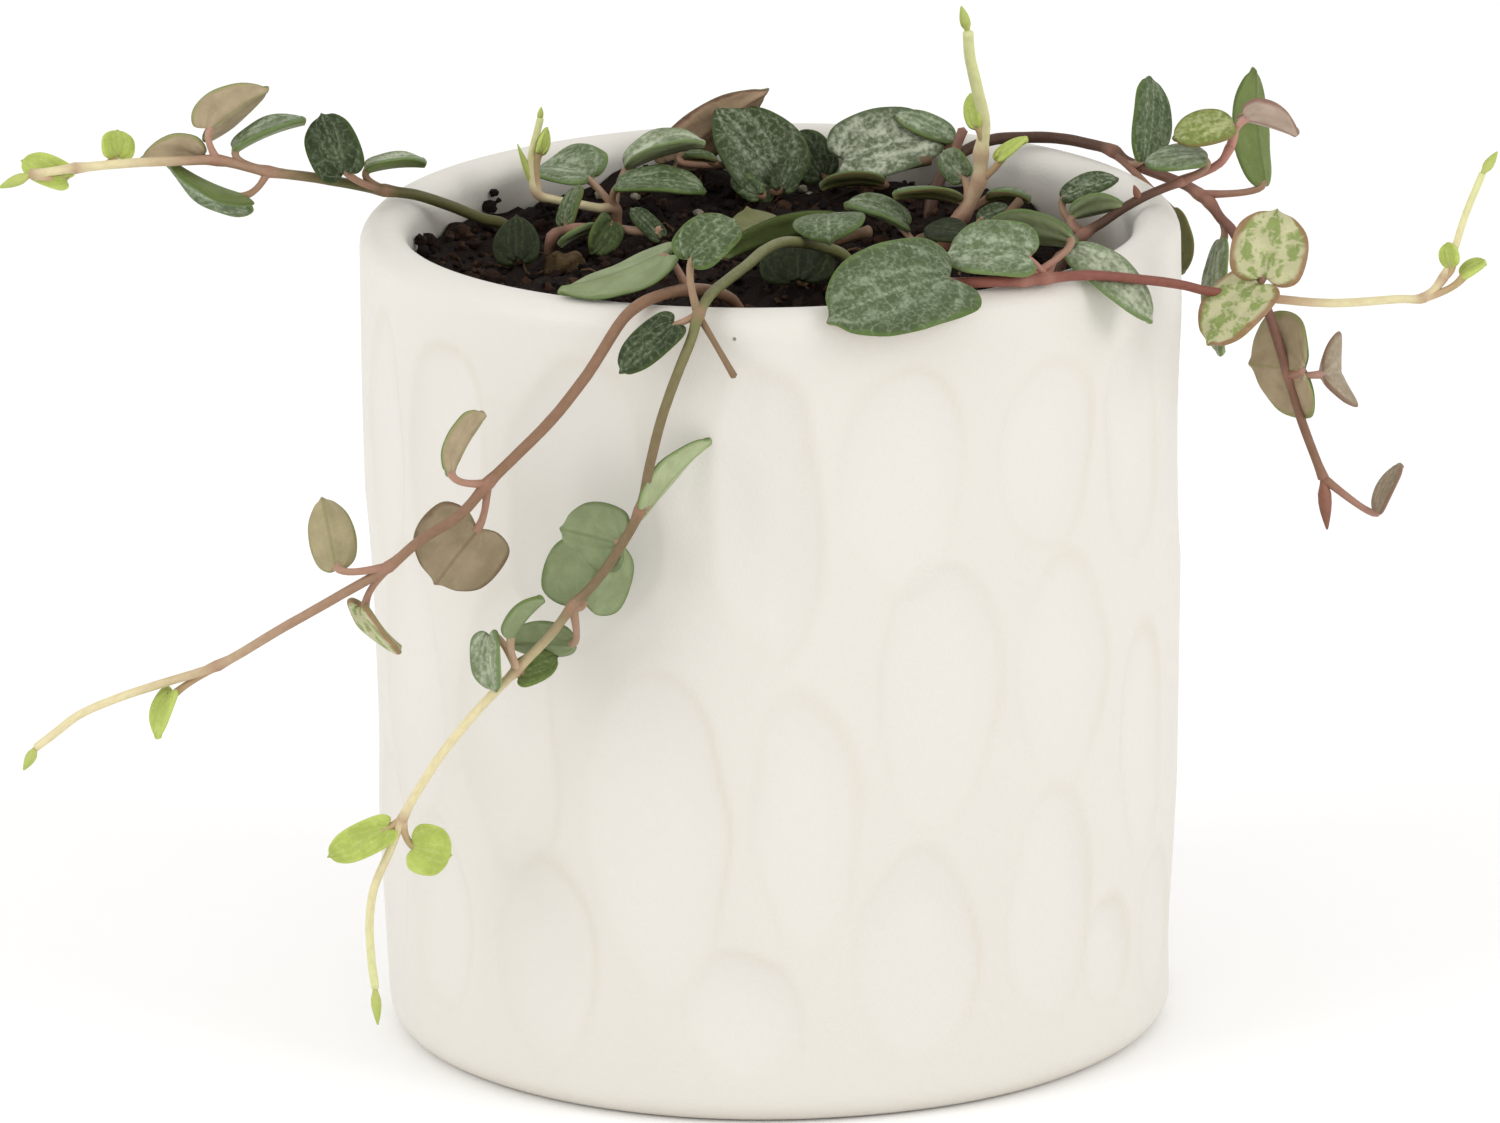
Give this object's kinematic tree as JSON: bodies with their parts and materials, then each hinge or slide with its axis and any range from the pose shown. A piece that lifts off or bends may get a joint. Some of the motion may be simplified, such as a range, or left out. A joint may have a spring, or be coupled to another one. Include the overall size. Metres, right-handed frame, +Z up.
{
  "type": "potted string of hearts",
  "caption": "Trailing succulent vine with small fleshy heart-shaped leaves, rooted in soil in a white dimpled ceramic pot.",
  "frame": {"origin": "middle of the pot's flat base, on the surface it stands on", "axes": "+Z up, -Y the front of the pot that the picture shows, +X to the right"},
  "size_m": [0.1629, 0.1006, 0.1112],
  "materials": {
    "glaze": "satin",
    "soil": "matte",
    "foliage": "satin"
  },
  "bodies": {
    "root": {"pot": "glaze", "soil": "soil", "vine_left": "foliage", "vine_front_left": "foliage", "vine_front": "foliage", "vine_right": "foliage", "vine_back_right": "foliage", "vine_rim": "foliage", "shoot_tall": "foliage", "shoot_left": "foliage", "crown_left": "foliage", "crown_edge": "foliage", "crown_back_left": "foliage", "crown_back": "foliage", "crown_front": "foliage", "crown_right": "foliage"}
  },
  "joints": []
}
